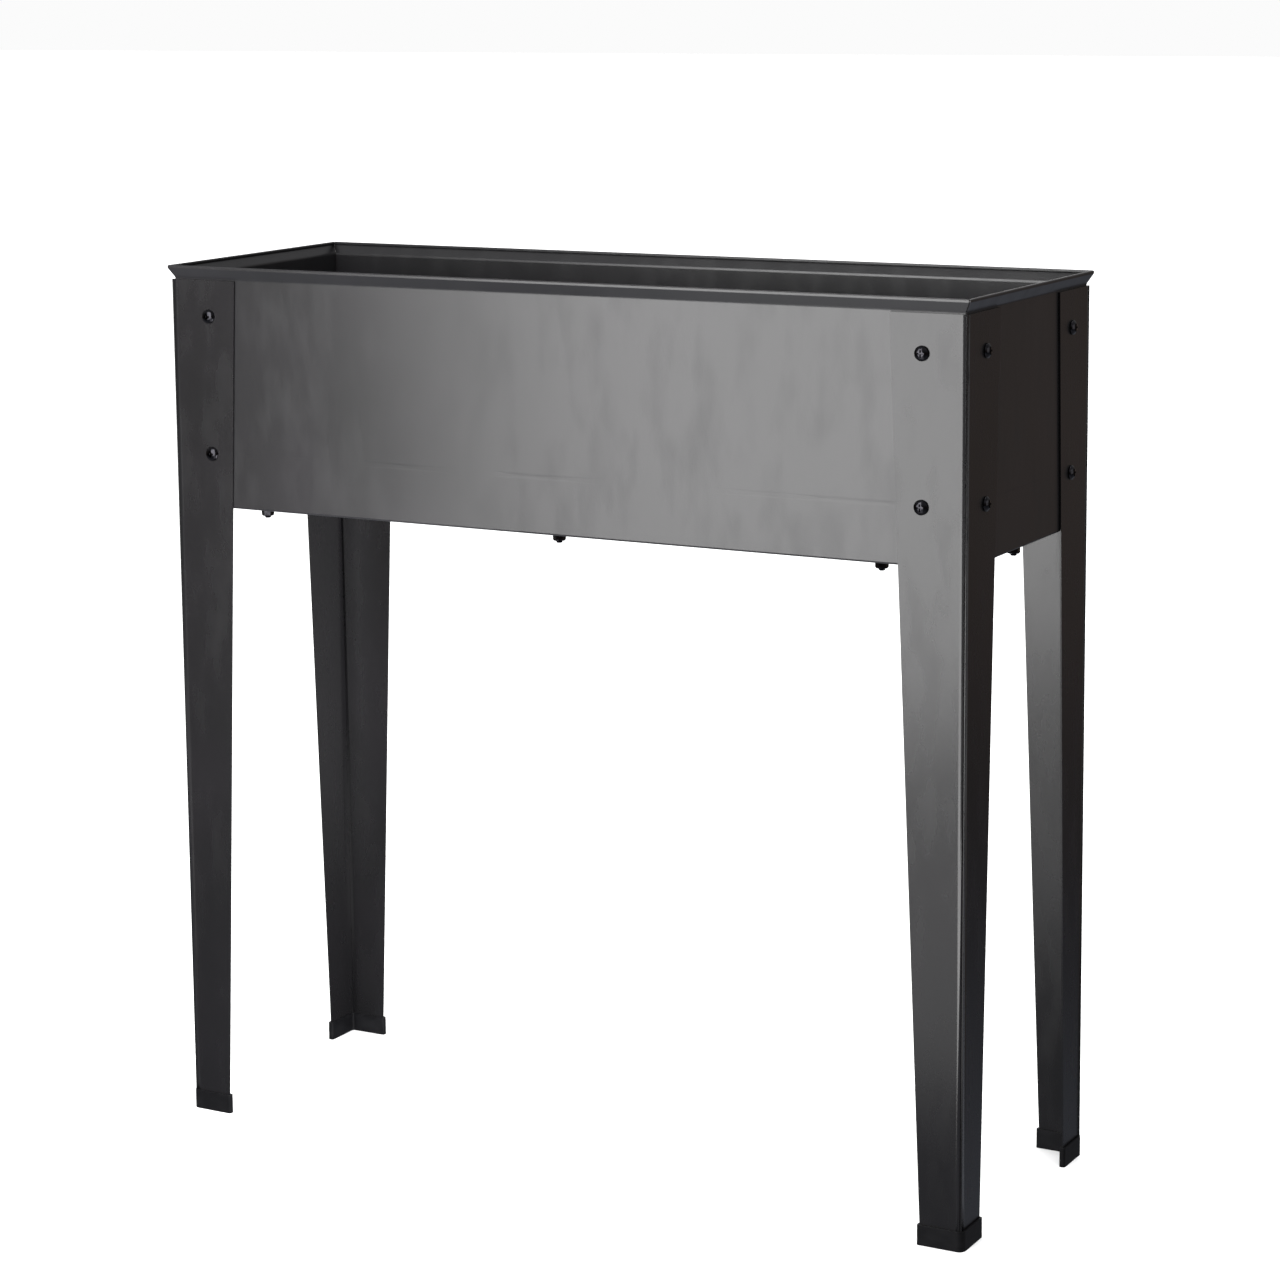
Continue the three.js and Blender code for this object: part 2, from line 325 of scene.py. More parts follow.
@dataclass(frozen=True)
class MouldedPlastic:
    """Black polyethylene, injection moulded with a fine spark-eroded texture.

    The eye sees a matt, slightly grey black with no sharp reflection, paler where it is scuffed.
    """

    name: str = "moulded_polyethylene_black"
    colour: str = "#0e0e10"
    scuffed: str = "#161618"
    roughness: float = 0.5
    rougher: float = 0.64
    shine: float = 0.16
    texture: float = 0.9 * MM  # the real texture is 0.1 mm, too fine to show

    @lru_cache
    def material(self) -> bpy.types.Material:
        """The finish's material."""
        material, tree, shader = surface(self.name)
        shader.inputs["Specular IOR Level"].default_value = self.shine
        scuffs = noise(tree, 9 * MM, (2, 2, 1), 4.0, (0.45, 0.75))
        tint = blend_between(tree, scuffs, linear(self.colour), linear(self.scuffed))
        tree.links.new(tint, shader.inputs["Base Color"])
        rough = spread_between(tree, scuffs, self.roughness, self.rougher)
        tree.links.new(rough, shader.inputs["Roughness"])
        normal = raised(tree, noise(tree, self.texture, detail=2.0), 0.03 * MM)
        tree.links.new(normal, shader.inputs["Normal"])
        return material


@dataclass(frozen=True)
class PlatedSteel:
    """Zinc plate on a cold-headed steel fastener, either passivated black or left bright.

    The eye sees small, hard highlights on the crowns and edges, a thin cloudy film, and a
    faint drawn grain from heading.
    """

    name: str
    colour: str
    clouded: str
    roughness: float
    rougher: float

    @lru_cache
    def material(self) -> bpy.types.Material:
        """The finish's material."""
        material, tree, shader = surface(self.name)
        shader.inputs["Metallic"].default_value = 1.0
        film = noise(tree, 2.5 * MM, detail=3.0)
        tint = blend_between(tree, film, linear(self.colour), linear(self.clouded))
        tree.links.new(tint, shader.inputs["Base Color"])
        rough = spread_between(tree, film, self.roughness, self.rougher)
        tree.links.new(rough, shader.inputs["Roughness"])
        normal = raised(tree, noise(tree, 0.7 * MM, (1, 1, 4), 2.0), 0.01 * MM)
        tree.links.new(normal, shader.inputs["Normal"])
        return material


BLACK_ZINC = PlatedSteel("black_zinc_plate", "#222225", "#323134", 0.1, 0.17)
BRIGHT_ZINC = PlatedSteel("bright_zinc_plate", "#a9acb0", "#c3c2ba", 0.28, 0.42)


# ---------------------------------------------------------------- mesh work


def edges_of(verts: Iterable[bmesh.types.BMVert]) -> list[bmesh.types.BMEdge]:
    """The edges that join these vertices to each other, each once and in a fixed order."""
    members = set(verts)
    found = {e: None for v in verts for e in v.link_edges if set(e.verts) <= members}
    return list(found)


def pull(
    mesh: bmesh.types.BMesh, edges: Sequence[bmesh.types.BMEdge], way: Vector
) -> list[bmesh.types.BMEdge]:
    """Draws a strip of sheet out from some edges.

    Args:
        mesh: The mesh being modelled.
        edges: The edges to start from.
        way: How far and where the new edges move.

    Returns:
        The strip's far edges.
    """
    made = bmesh.ops.extrude_edge_only(mesh, edges=edges)["geom"]
    verts = [g for g in made if isinstance(g, bmesh.types.BMVert)]
    bmesh.ops.translate(mesh, verts=verts, vec=way)
    return edges_of(verts)


def holed_plate(
    mesh: bmesh.types.BMesh,
    outline: Sequence[Vector],
    holes: Sequence[tuple[Vector, float]],
    facing: Vector,
) -> None:
    """Fills a flat outline with sheet, leaving round holes.

    Args:
        mesh: The mesh being modelled.
        outline: The plate's corners, in order.
        holes: The middle of each hole, in the same plane, and its radius.
        facing: The way that the plate faces.
    """
    verts = [mesh.verts.new(corner) for corner in outline]
    edges = [mesh.edges.new(pair) for pair in zip(verts, verts[1:] + verts[:1])]
    turn = Vector((0, 0, 1)).rotation_difference(facing).to_matrix().to_4x4()
    for middle, radius in holes:
        place = Matrix.Translation(middle) @ turn
        ring = bmesh.ops.create_circle(mesh, segments=24, radius=radius, matrix=place)
        edges += edges_of(ring["verts"])
    bmesh.ops.triangle_fill(mesh, edges=edges, use_beauty=True, normal=facing)


def fold(
    mesh: bmesh.types.BMesh, edges: Sequence[bmesh.types.BMEdge], setback: float, steps: int = 6
) -> None:
    """Rounds a bend in the sheet.

    Args:
        mesh: The mesh being modelled.
        edges: The bend's edges.
        setback: From the sharp corner to where the bend starts.
        steps: The bend's facets.
    """
    bmesh.ops.bevel(
        mesh,
        geom=list(edges),
        offset=setback,
        offset_type="OFFSET",
        segments=steps,
        profile=0.5,
        affect="EDGES",
        material=-1,
    )


def face_the(mesh: bmesh.types.BMesh, way: Vector) -> None:
    """Makes an open sheet's faces agree, with its largest face looking the given way."""
    bmesh.ops.recalc_face_normals(mesh, faces=mesh.faces)
    largest = max(mesh.faces, key=lambda face: face.calc_area())
    if largest.normal.dot(way) < 0:
        bmesh.ops.reverse_faces(mesh, faces=mesh.faces)


def settle(
    mesh: bmesh.types.BMesh,
    name: str,
    finish: Finish,
    stands_for: Sequence[str] = (),
    sharp_over: float | None = None,
) -> bpy.types.Object:
    """Turns a finished bmesh into a piece that rides on the frame.

    Args:
        mesh: The mesh, already in its place.
        name: The piece's name.
        finish: What it is made of.
        stands_for: The CAD nodes that it replaces.
        sharp_over: Edges that turn by more than this many degrees are sharp.

    Returns:
        The piece.
    """
    data = bpy.data.meshes.new(name)
    mesh.to_mesh(data)
    mesh.free()
    data.shade_smooth()
    if sharp_over is not None:
        data.set_sharp_from_angle(angle=math.radians(sharp_over))
    data.materials.append(finish.material())
    piece = bpy.data.objects.new(name, data)
    bpy.context.scene.collection.objects.link(piece)
    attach(piece, BODY)
    if stands_for:
        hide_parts(*stands_for)
    LOG.info("%s: %d faces in %s", name, len(data.polygons), finish.material().name)
    return piece


def thicken(piece: bpy.types.Object, sheet: float, offset: float) -> None:
    """Gives an open sheet its thickness.

    Args:
        piece: The piece to thicken.
        sheet: The sheet's thickness.
        offset: 0 for both sides of the modelled face, -1 for behind it.
    """
    solid = piece.modifiers.new("sheet", "SOLIDIFY")
    solid.thickness = sheet
    solid.offset = offset
    solid.use_even_offset = True


def ease(piece: bpy.types.Object, width: float, steps: int = 2, angle: float = 50) -> None:
    """Breaks the sharp edges of a piece and keeps its flat faces looking flat.

    Args:
        piece: The piece to ease.
        width: How wide the broken edge is.
        steps: Its facets.
        angle: Only edges that turn by more than this many degrees are broken.
    """
    bevel = piece.modifiers.new("edges", "BEVEL")
    bevel.width = width
    bevel.segments = steps
    bevel.limit_method = "ANGLE"
    bevel.angle_limit = math.radians(angle)
    bevel.use_clamp_overlap = True
    normals = piece.modifiers.new("normals", "WEIGHTED_NORMAL")
    normals.keep_sharp = True
    normals.weight = 100


# ---------------------------------------------------------------- fasteners


@dataclass(frozen=True)
class Screw:
    """An M6 truss-head screw with a cross recess. Its axis is +Z, out of the head."""

    head_radius: float = 6.5 * MM
    head_height: float = 3.4 * MM
    shank_radius: float = 2.9 * MM
    shank_length: float = 12 * MM
    root_radius: float = 2.5 * MM
    pitch: float = 1.0 * MM
    plain: float = 1.5 * MM  # unthreaded under the head
    slot_half_width: float = 0.75 * MM
    slot_reach: float = 3.2 * MM
    slot_depth: float = 1.9 * MM
    segments: int = 24

    def recess(self, mesh: bmesh.types.BMesh) -> list[bmesh.types.BMEdge]:
        """Makes the crown with its cross recess.

        Args:
            mesh: The mesh being modelled.

        Returns:
            The crown's round outer edge.
        """
        top = Matrix.Translation((0, 0, self.head_height))
        core = bmesh.ops.create_grid(
            mesh, x_segments=1, y_segments=1, size=self.slot_half_width, matrix=top
        )
        arm = self.slot_reach - self.slot_half_width
        for edge in edges_of(core["verts"]):
            middle = sum((v.co for v in edge.verts), Vector()) / 2
            pull(mesh, [edge], Vector((middle.x, middle.y, 0)).normalized() * arm)
        cross = list(mesh.faces)
        rim = [e for e in mesh.edges if e.is_boundary]
        bmesh.ops.subdivide_edges(mesh, edges=rim, cuts=1)
        cross = list(mesh.faces)
        rim = [e for e in mesh.edges if e.is_boundary]
        radius, height = self.slot_reach + 0.5 * MM, self.head_height * 0.95
        ring = bmesh.ops.create_circle(
            mesh, segments=self.segments, radius=radius, matrix=Matrix.Translation((0, 0, height))
        )
        edges = edges_of(ring["verts"])
        bmesh.ops.bridge_loops(mesh, edges=rim + edges)
        pit = bmesh.ops.extrude_face_region(mesh, geom=cross)["geom"]
        verts = [g for g in pit if isinstance(g, bmesh.types.BMVert)]
        bmesh.ops.delete(mesh, geom=cross, context="FACES")
        bmesh.ops.translate(mesh, verts=verts, vec=(0, 0, -self.slot_depth))
        bmesh.ops.scale(mesh, verts=verts, vec=(0.72, 0.72, 1))
        return edges

    def outline(self) -> list[tuple[float, float]]:
        """Radius and height of each ring, from the crown down to the tip."""
        r, h = self.head_radius, self.head_height
        dome = [(r * math.sin(a), h * (0.18 + 0.82 * math.cos(a))) for a in (0.85, 1.1, 1.32, 1.5)]
        rings = [*dome, (r, h * 0.1), (r - 0.15 * MM, 0), (self.shank_radius, 0)]
        depth = self.plain
        while depth < self.shank_length - self.pitch:
            rings += [(self.shank_radius, -depth), (self.root_radius, -depth - self.pitch / 2)]
            depth += self.pitch
        rings += [(self.shank_radius, -depth), (self.root_radius - 0.4 * MM, -self.shank_length)]
        return rings

    def build(self, name: str, place: Matrix) -> bpy.types.Object:
        """Makes one screw.

        Args:
            name: The CAD node that it stands for.
            place: From the screw's own axes to its place.

        Returns:
            The piece.
        """
        mesh = bmesh.new()
        edges = self.recess(mesh)
        radius, height = self.slot_reach + 0.5 * MM, self.head_height * 0.95
        for next_radius, next_height in self.outline():
            edges = pull(mesh, edges, Vector((0, 0, next_height - height)))
            verts = list(dict.fromkeys(v for e in edges for v in e.verts))
            factor = next_radius / radius
            bmesh.ops.scale(mesh, verts=verts, vec=(factor, factor, 1))
            radius, height = next_radius, next_height
        bmesh.ops.edgeloop_fill(mesh, edges=edges)
        bmesh.ops.recalc_face_normals(mesh, faces=mesh.faces)
        bmesh.ops.transform(mesh, matrix=place, verts=mesh.verts)
        return settle(mesh, f"{name}_finished", BLACK_ZINC, [name], sharp_over=38)


@dataclass(frozen=True)
class Nut:
    """A chamfered M6 hexagon nut. It stands on its origin along +Z."""

    across_flats: float = 10 * MM
    height: float = 5 * MM
    bore: float = 3.2 * MM
    chamfer: float = 0.6 * MM
    segments: int = 24

    def build(
        self,
        name: str,
        place: Matrix,
        finish: Finish,
        stands_for: Sequence[str] = (),
        slot: Slot = Slot.NUT,
    ) -> bpy.types.Object:
        """Makes one nut.

        Args:
            name: The piece's name.
            place: From the nut's own axes to its place.
            finish: What it is made of.
            stands_for: The CAD nodes that it replaces.
            slot: Which kind of finish that is; not used.

        Returns:
            The piece.
        """
        mesh = bmesh.new()
        corner_radius = self.across_flats / math.sqrt(3)
        hexagon = bmesh.ops.create_circle(mesh, segments=6, radius=corner_radius)
        cuts = self.segments // 6 - 1
        bmesh.ops.subdivide_edges(mesh, edges=edges_of(hexagon["verts"]), cuts=cuts)
        outer = list(mesh.edges)
        bore = bmesh.ops.create_circle(mesh, segments=self.segments, radius=self.bore)
        inner = edges_of(bore["verts"])
        bmesh.ops.bridge_loops(mesh, edges=outer + inner)
        layers = [self.chamfer, self.height - 2 * self.chamfer, self.chamfer]
        faces = list(mesh.faces)
        for rise in layers:
            made = bmesh.ops.extrude_face_region(mesh, geom=faces, use_keep_orig=rise is layers[0])
            verts = [g for g in made["geom"] if isinstance(g, bmesh.types.BMVert)]
            faces = [g for g in made["geom"] if isinstance(g, bmesh.types.BMFace)]
            bmesh.ops.translate(mesh, verts=verts, vec=(0, 0, rise))
        self.round_corners(mesh)
        bmesh.ops.recalc_face_normals(mesh, faces=mesh.faces)
        bmesh.ops.transform(mesh, matrix=place, verts=mesh.verts)
        return settle(mesh, name, finish, stands_for, sharp_over=20)

    def round_corners(self, mesh: bmesh.types.BMesh) -> None:
        """Turns the hexagon's corners off at both ends, and opens the bore's mouth."""
        turned = self.across_flats / 2 * 1.02
        for vert in mesh.verts:
            if EPSILON < vert.co.z < self.height - EPSILON:
                continue
            flat = Vector((vert.co.x, vert.co.y, 0))
            wanted = min(flat.length, turned)
            if flat.length < self.bore + EPSILON:
                wanted = self.bore + self.chamfer / 2
            vert.co.xy = (flat.normalized() * wanted).xy


# ---------------------------------------------------------------- sheet metal


def leg_face(axis: int) -> float:
    """How far the legs' outer faces stand from the middle along X (0) or Y (1)."""
    return abs(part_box("leg_front_left")[0][axis])


@dataclass
class Leg:
    """A tapered angle leg. Its fold stands at the origin and its flanges lie along +X and +Y."""

    sheet: float = 1.5 * MM
    fold_radius: float = 2.1 * MM
    flange_at_ground: float = 38 * MM
    flange_at_top: float = 69 * MM
    hole_radius: float = 3.3 * MM
    screw_inset: float = 40 * MM
    screw_heights: dict[str, float] = field(
        default_factory=lambda: {"upper": 760 * MM, "lower": 633 * MM}
    )
    strip: float = 6 * MM  # plain sheet beside the fold
    finish: PowderCoat = PowderCoat(
        "powder_coat_satin_black_legs", "#141415", "#1a191b", 0.25, 0.33, shine=0.46
    )

    def flange_at(self, height: float, top: float) -> float:
        """The flange's width at a height above the ground."""
        return self.flange_at_ground + (self.flange_at_top - self.flange_at_ground) * height / top

    def build(self, name: str, place: Matrix) -> bpy.types.Object:
        """Makes one leg.

        Args:
            name: The CAD node that it stands for.
            place: From the leg's own axes to its corner.

        Returns:
            The piece.
        """
        low, high = (corner.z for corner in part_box(name))
        outline = [
            Vector((self.strip, 0, low)),
            Vector((self.flange_at(low, high), 0, low)),
            Vector((self.flange_at(high, high), 0, high)),
            Vector((self.strip, 0, high)),
        ]
        heights = self.screw_heights.values()
        holes = [(Vector((self.screw_inset, 0, z)), self.hole_radius) for z in heights]
        mesh = bmesh.new()
        holed_plate(mesh, outline, holes, Vector((0, -1, 0)))
        beside = [e for e in mesh.edges if all(abs(v.co.x - self.strip) < EPSILON for v in e.verts)]
        pull(mesh, beside, Vector((-self.strip, 0, 0)))
        everything = [*mesh.verts, *mesh.edges, *mesh.faces]
        other = bmesh.ops.duplicate(mesh, geom=everything)["geom"]
        across = Matrix(((0, 1, 0, 0), (1, 0, 0, 0), (0, 0, 1, 0), (0, 0, 0, 1)))
        verts = [g for g in other if isinstance(g, bmesh.types.BMVert)]
        bmesh.ops.transform(mesh, matrix=across, verts=verts)
        bmesh.ops.remove_doubles(mesh, verts=mesh.verts, dist=EPSILON)
        corner = [e for e in mesh.edges if all(v.co.xy.length < EPSILON for v in e.verts)]
        fold(mesh, corner, self.fold_radius)
        face_the(mesh, Vector((-1, -1, 0)))
        bmesh.ops.transform(mesh, matrix=place, verts=mesh.verts)
        piece = settle(mesh, f"{name}_coated", self.finish, [name])
        thicken(piece, self.sheet, -1)
        ease(piece, 0.5 * MM)
        return piece


@dataclass
class FootCap:
    """A moulded boot over a leg's foot, in the leg's own axes."""

    base: float = 2 * MM
    wall: float = 1.8 * MM
    corner_radius: float = 6 * MM
    small_radius: float = 2.1 * MM  # more than the wall, so that the pocket keeps round corners
    edge: float = 0.45 * MM
    finish: MouldedPlastic = MouldedPlastic()

    def build(self, name: str, place: Matrix, leg: Leg) -> bpy.types.Object:
        """Makes one cap.

        Args:
            name: The CAD node that it stands for.
            place: From the leg's own axes to its corner.
            leg: The leg that stands in it.

        Returns:
            The piece.
        """
        low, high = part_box(name)
        height = high.z - low.z
        start = -(GAP + self.wall)
        far = start + (high.x - low.x)
        inner = start + leg.sheet + 2 * (GAP + self.wall)
        arm_along_x = [(start, start), (far, start), (far, inner), (inner, inner)]
        outline = [*arm_along_x, (inner, far), (start, far)]
        mesh = bmesh.new()
        verts = [mesh.verts.new((x, y, 0)) for x, y in outline]
        mesh.faces.new(verts)
        radii = [self.corner_radius] + [self.small_radius] * (len(verts) - 1)
        for vert, radius in zip(verts, radii):
            bmesh.ops.bevel(
                mesh, geom=[vert], offset=radius, segments=6, profile=0.5, affect="VERTICES", material=-1
            )
        sole = list(mesh.faces)
        body = bmesh.ops.extrude_face_region(mesh, geom=sole)["geom"]
        bmesh.ops.translate(
            mesh, verts=[g for g in body if isinstance(g, bmesh.types.BMVert)], vec=(0, 0, height)
        )
        mouth = [g for g in body if isinstance(g, bmesh.types.BMFace)]
        bmesh.ops.recalc_face_normals(mesh, faces=mesh.faces)
        bmesh.ops.inset_region(mesh, faces=mouth, thickness=self.wall, use_even_offset=True)
        pocket = bmesh.ops.extrude_face_region(mesh, geom=mouth)["geom"]
        bmesh.ops.delete(mesh, geom=mouth, context="FACES")
        deep = [g for g in pocket if isinstance(g, bmesh.types.BMVert)]
        bmesh.ops.translate(mesh, verts=deep, vec=(0, 0, self.base - height))
        bmesh.ops.recalc_face_normals(mesh, faces=mesh.faces)
        bmesh.ops.transform(mesh, matrix=place, verts=mesh.verts)
        piece = settle(mesh, f"{name}_moulded", self.finish, [name])
        ease(piece, self.edge, steps=3, angle=40)
        return piece


BendPoint = tuple[float, float, float]  # place outwards, place upwards, bend radius


@dataclass
class Trough:
    """The four folded panels and the floor sheet, with the floor's screws and locking nuts."""

    sheet: float = 1 * MM
    leg_sheet: float = 1.5 * MM
    return_flange: float = 35 * MM
    rim_flare: float = 9 * MM
    rim_flare_radius: float = 5 * MM
    rim_straight: float = 2 * MM
    rim_radius: float = 0.78 * MM
    hem_pitch: float = 1.6 * MM
    hem_drop: float = 1.8 * MM
    bend_radius: float = 1.5 * MM
    mitre_back: float = 0.45 * MM
    strip: float = 10 * MM  # plain sheet beside the bends
    hole_radius: float = 3.3 * MM
    floor_margin: float = 2.5 * MM
    floor_screw_inset: float = 20 * MM  # from the long panels
    end_screw_inset: float = 12 * MM  # from the end panels
    floor_screw_pitch: float = 310 * MM
    lock_nut_height: float = 7 * MM
    lock_nut_chamfer: float = 1.1 * MM
    drain_radius: float = 4 * MM
    drain_pitch: float = 150 * MM
    drain_row: float = 60 * MM
    drains_per_row: int = 5
    wall_finish: PowderCoat = PowderCoat(name="powder_coat_satin_black_panels", crease_height=0.634)
    floor_finish: PowderCoat = PowderCoat(name="powder_coat_satin_black_floor")

    def __post_init__(self) -> None:
        """Reads the panels' places from the frame."""
        low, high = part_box("front_panel")
        inset = self.leg_sheet + GAP
        self.half_length = leg_face(0) - inset
        self.half_depth = leg_face(1) - inset
        self.bottom = low.z
        self.height = high.z - low.z
        self.rim_reach = -low.y - self.half_depth

    def section(self) -> tuple[list[BendPoint], list[BendPoint]]:
        """The middle of the sheet, below and above the flat wall.

        Returns:
            The corners going down from the wall, and the corners going up from it, each as
            its place outwards, its place upwards and its bend radius.
        """
        half = self.sheet / 2
        lip = self.rim_reach - half
        lip_bottom = self.height - half - self.rim_straight
        top = self.height - half
        bend, hem = self.bend_radius, self.rim_radius
        down = [(-half, half, bend), (-self.return_flange, half, 0.0)]
        up = [
            (-half, lip_bottom - self.rim_flare, self.rim_flare_radius),
            (lip, lip_bottom, hem),
            (lip, top, hem),
            (lip - self.hem_pitch, top, hem),
            (lip - self.hem_pitch, top - self.hem_drop, 0.0),
        ]
        return down, up

    def panel(self, name: str, side: Side, leg: Leg) -> bpy.types.Object:
        """Makes one panel. It is modelled flat: X along it, Y up it and Z out of it.

        Args:
            name: The CAD node that it stands for.
            side: Which side of the trough it closes.
            leg: A leg, for the places of its screws.

        Returns:
            The piece.
        """
        long = side in (Side.FRONT, Side.REAR)
        half_run = self.half_length if long else self.half_depth
        offset = self.half_depth if long else self.half_length
        down, up = self.section()
        wall = -self.sheet / 2
        reach = half_run + 2 * self.rim_reach
        low, high = down[0][1] + self.strip, up[0][1] - self.strip
        corners = ((-reach, low), (reach, low), (reach, high), (-reach, high))
        outline = [Vector((x, y, wall)) for x, y in corners]
        run = half_run + self.leg_sheet + GAP - leg.screw_inset
        holes = [
            (Vector((end * run, height - self.bottom, wall)), self.hole_radius)
            for end in (-1, 1)
            for height in leg.screw_heights.values()
        ]
        mesh = bmesh.new()
        holed_plate(mesh, outline, holes, Vector((0, 0, 1)))
        for start, path in ((low, down), (high, up)):
            edges = [e for e in mesh.edges if all(abs(v.co.y - start) < EPSILON for v in e.verts)]
            self.fold_along(mesh, edges, (wall, start), path)
        for end in (-1, 1):
            bmesh.ops.bisect_plane(
                mesh,
                geom=[*mesh.verts, *mesh.edges, *mesh.faces],
                plane_co=(end * (half_run - self.mitre_back), 0, 0),
                plane_no=(end, 0, -1),
                clear_outer=True,
            )
        face_the(mesh, Vector((0, 0, 1)))
        upright = Matrix.Translation((0, -offset, self.bottom)) @ Matrix.Rotation(math.pi / 2, 4, "X")
        bmesh.ops.transform(mesh, matrix=side.turned() @ upright, verts=mesh.verts)
        piece = settle(mesh, f"{name}_coated", self.wall_finish, [name])
        thicken(piece, self.sheet, 0)
        ease(piece, 0.2 * MM)
        return piece

    def fold_along(
        self,
        mesh: bmesh.types.BMesh,
        edges: Sequence[bmesh.types.BMEdge],
        start: tuple[float, float],
        path: Sequence[BendPoint],
    ) -> None:
        """Draws the sheet out along one side of the wall and rounds its bends.

        Args:
            mesh: The mesh being modelled.
            edges: The wall's edges on that side.
            start: Their place in the section.
            path: The section's corners from there.
        """
        bends = []
        came = Vector((0.0, 0.0))
        at = Vector(start)
        for out, up, radius in path:
            step = Vector((out, up)) - at
            if bends:
                bends[-1][1] = step.angle(came)
            edges = pull(mesh, edges, Vector((0, step.y, step.x)))
            bends.append([edges, 0.0, radius])
            came, at = step, at + step
        for bent, turn, radius in bends[:-1]:
            fold(mesh, bent, radius * math.tan(turn / 2))

    def floor(self) -> bpy.types.Object:
        """Makes the floor sheet with its screw and drain holes."""
        name = "floor_panel"
        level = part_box(name)[0].z + self.sheet / 2
        x, y = self.half_length - self.floor_margin, self.half_depth - self.floor_margin
        outline = [Vector((i * x, j * y, level)) for i, j in ((-1, -1), (1, -1), (1, 1), (-1, 1))]
        middle = (self.drains_per_row - 1) / 2
        drains = [
            (Vector(((i - middle) * self.drain_pitch, side * self.drain_row, level)), self.drain_radius)
            for side in (-1, 1)
            for i in range(self.drains_per_row)
        ]
        screws = [(Vector((x, y, level)), self.hole_radius) for x, y in self.floor_screws().values()]
        mesh = bmesh.new()
        holed_plate(mesh, outline, drains + screws, Vector((0, 0, 1)))
        face_the(mesh, Vector((0, 0, 1)))
        piece = settle(mesh, f"{name}_coated", self.floor_finish, [name])
        thicken(piece, self.sheet, 0)
        ease(piece, 0.2 * MM)
        return piece

    def floor_screws(self) -> dict[str, tuple[float, float]]:
        """Where the screws through the floor stand."""
        y, x = self.half_depth - self.floor_screw_inset, self.half_length - self.end_screw_inset
        row = {"left": -self.floor_screw_pitch, "middle": 0.0, "right": self.floor_screw_pitch}
        found = {f"front_{name}": (place, -y) for name, place in row.items()}
        found |= {f"rear_{name}": (place, y) for name, place in row.items()}
        return found | {"left_end": (-x, 0.0), "right_end": (x, 0.0)}

    def build(self, leg: Leg) -> None:
        """Makes the whole trough.

        Args:
            leg: A leg, for the places of its screws.
        """
        self.panel("front_panel", Side.FRONT, leg)
        self.panel("right_end_panel", Side.RIGHT, leg)
        self.panel("rear_panel", Side.REAR, leg)
        self.panel("left_end_panel", Side.LEFT, leg)
        self.floor()
        screw = Screw()
        nut = Nut(height=self.lock_nut_height, chamfer=self.lock_nut_chamfer)
        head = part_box("floor_panel")[1].z + GAP
        downwards = Matrix.Rotation(math.pi, 4, "X")
        for name, (x, y) in self.floor_screws().items():
            screw.build(f"floor_screw_{name}", Matrix.Translation((x, y, head)))
            below = Matrix.Translation((x, y, self.bottom - GAP)) @ downwards
            nut.build(f"floor_nut_{name}", below, BLACK_ZINC, slot=Slot.SCREW)


@dataclass
class Corner:
    """A leg with its foot cap, screws and nuts."""

    name: str
    signs: tuple[int, int]
    side: Side
    flanges: tuple[str, str]
    leg: Leg
    panel_sheet: float = 1 * MM

    def place(self) -> Matrix:
        """From the leg's own axes to its corner."""
        x, y = self.signs
        return Matrix.Translation((x * leg_face(0), y * leg_face(1), 0)) @ self.side.turned()

    def build(self) -> None:
        """Makes the corner's pieces."""
        place = self.place()
        self.leg.build(f"leg_{self.name}", place)
        FootCap().build(f"foot_cap_{self.name}", place, self.leg)
        screw, nut = Screw(), Nut()
        inside = self.leg.sheet + GAP + self.panel_sheet + GAP
        flange_faces = (
            (Vector((1, 0, 0)), Vector((0, 1, 0))),
            (Vector((0, 1, 0)), Vector((1, 0, 0))),
        )
        for flange, (along, inwards) in zip(self.flanges, flange_faces):
            outwards = Vector((0, 0, 1)).rotation_difference(-inwards).to_matrix().to_4x4()
            inward_turn = Vector((0, 0, 1)).rotation_difference(inwards).to_matrix().to_4x4()
            for level, height in self.leg.screw_heights.items():
                label = f"{self.name}_{flange}_{level}"
                at = along * self.leg.screw_inset + Vector((0, 0, height))
                head = Matrix.Translation(at - inwards * GAP)
                screw.build(f"leg_screw_{label}", place @ head @ outwards)
                seat = Matrix.Translation(at + inwards * inside)
                node = f"leg_nut_{label}"
                nut.build(f"{node}_finished", place @ seat @ inward_turn, BRIGHT_ZINC, [node])


# ---------------------------------------------------------------- the studio


@dataclass(frozen=True)
class Softbox:
    """A rectangular light.

    Attributes:
        name: Its name.
        at: Its middle.
        towards: The point that it faces.
        size: Its width and height.
        power: In watts.
        roll: Its turn about its own axis, in degrees.
    """

    name: str
    at: tuple[float, float, float]
    towards: tuple[float, float, float]
    size: tuple[float, float]
    power: float
    roll: float = 0.0

    def build(self) -> bpy.types.Object:
        """Hangs the light.

        Returns:
            The light.
        """
        lamp = bpy.data.lights.new(self.name, "AREA")
        lamp.shape = "RECTANGLE"
        lamp.size, lamp.size_y = self.size
        lamp.energy = self.power
        light = bpy.data.objects.new(self.name, lamp)
        light.location = self.at
        way = Vector(self.towards) - Vector(self.at)
        roll = Matrix.Rotation(math.radians(self.roll), 3, "Z")
        turn = way.to_track_quat("-Z", "Y").to_matrix() @ roll
        light.rotation_euler = turn.to_euler()
        light.visible_camera = False
        bpy.context.scene.collection.objects.link(light)
        return light


